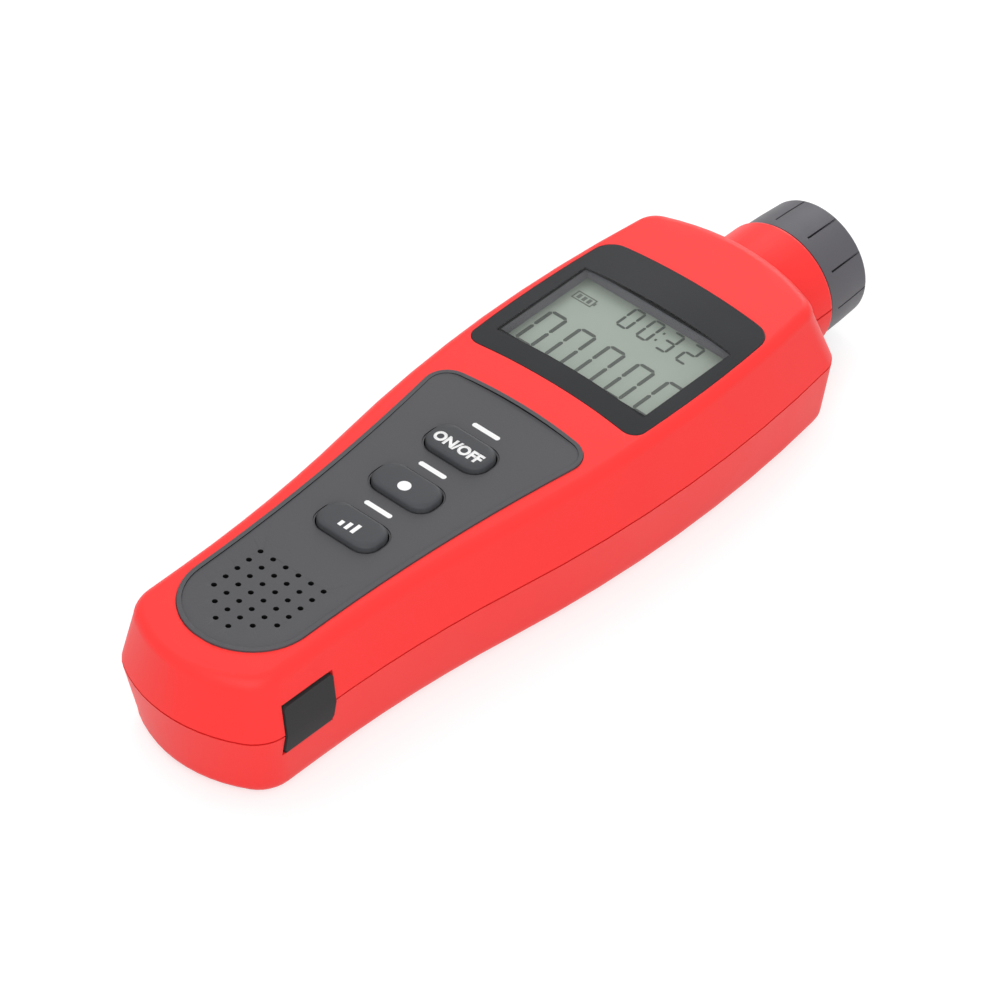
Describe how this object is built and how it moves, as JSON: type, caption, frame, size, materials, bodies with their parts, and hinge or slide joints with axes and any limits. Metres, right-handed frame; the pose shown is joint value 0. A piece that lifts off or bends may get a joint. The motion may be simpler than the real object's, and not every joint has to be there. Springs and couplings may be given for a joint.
{
  "type": "laser tachometer",
  "caption": "Hand-held non-contact tachometer: slim grip and wide head, inlaid keypad, numeric display, lens hood on a round neck, battery bay in the back.",
  "frame": {"origin": "middle of the length and width, on the flat back", "axes": "+Y from the tail to the lens hood, +Z from the back to the keypad face, +X to the right seen from the front"},
  "size_m": [0.0532, 0.184, 0.0316],
  "materials": {
    "case_red": "satin moulded red",
    "panel_grey": "fine matt grey",
    "key_grey": "soft matt grey",
    "dark_grey": "fine matt dark grey",
    "cover_rubber": "matt dark rubber",
    "clear_window": "clear polished plastic",
    "lens_clear": "clear polished",
    "border_black": "matt dark border",
    "frame_grey": "matt mid grey",
    "lcd_face": "pale grey green liquid-crystal face",
    "board_green": "green solder mask",
    "black_plastic": "matt black",
    "strip_rubber": "soft dark",
    "plated_steel": "nickel plated",
    "cell_blue": "plain sleeve",
    "brass_barrel": "turned brass"
  },
  "bodies": {
    "case": {"front_case": "case_red", "rear_case": "case_red", "keypad_panel": "panel_grey", "power_switch": "black_plastic", "record_switch": "black_plastic", "mode_switch": "black_plastic", "display_window": "clear_window", "window_gasket": "border_black", "display_frame": "frame_grey", "lcd_panel": "lcd_face", "tail_zebra_strip": "strip_rubber", "head_zebra_strip": "strip_rubber", "main_board": "board_green", "processor": "black_plastic", "buzzer": "black_plastic", "usb_socket": "plated_steel", "cell_left": "cell_blue", "cell_middle": "cell_blue", "cell_right": "cell_blue", "tail_link_contact": "plated_steel", "tail_spring_contact": "plated_steel", "head_link_contact": "plated_steel", "head_plate_contact": "plated_steel", "lens_hood": "dark_grey", "front_lens": "lens_clear", "optics_holder": "black_plastic", "laser_module": "brass_barrel", "photo_sensor": "black_plastic", "sensor_board": "board_green", "sensor_header": "black_plastic", "case_screws": "plated_steel", "board_screws": "plated_steel"},
    "power_key": {"power_key": "key_grey"},
    "record_key": {"record_key": "key_grey"},
    "mode_key": {"mode_key": "key_grey"},
    "usb_cover": {"usb_cover": "cover_rubber"},
    "battery_door": {"battery_door": "case_red"}
  },
  "joints": [
    {"name": "power_press", "type": "slide", "parent": "case", "child": "power_key", "axis": [0, 0.01, -0.9999], "range_m": [0, 0.0008], "stiffness_N_per_m": 900},
    {"name": "record_press", "type": "slide", "parent": "case", "child": "record_key", "axis": [0, 0.01, -0.9999], "range_m": [0, 0.0008], "stiffness_N_per_m": 900},
    {"name": "mode_press", "type": "slide", "parent": "case", "child": "mode_key", "axis": [0, 0.01, -0.9999], "range_m": [0, 0.0008], "stiffness_N_per_m": 900},
    {"name": "usb_cover_hinge", "type": "hinge", "parent": "case", "child": "usb_cover", "pos_m": [0.01792, -0.0745, 0.0118], "axis": [0, 1, 0], "range_deg": [0, 100]},
    {"name": "battery_door_hinge", "type": "hinge", "parent": "case", "child": "battery_door", "pos_m": [0, 0.00425, 0.0003], "axis": [-1, 0, 0], "range_deg": [0, 45]}
  ]
}
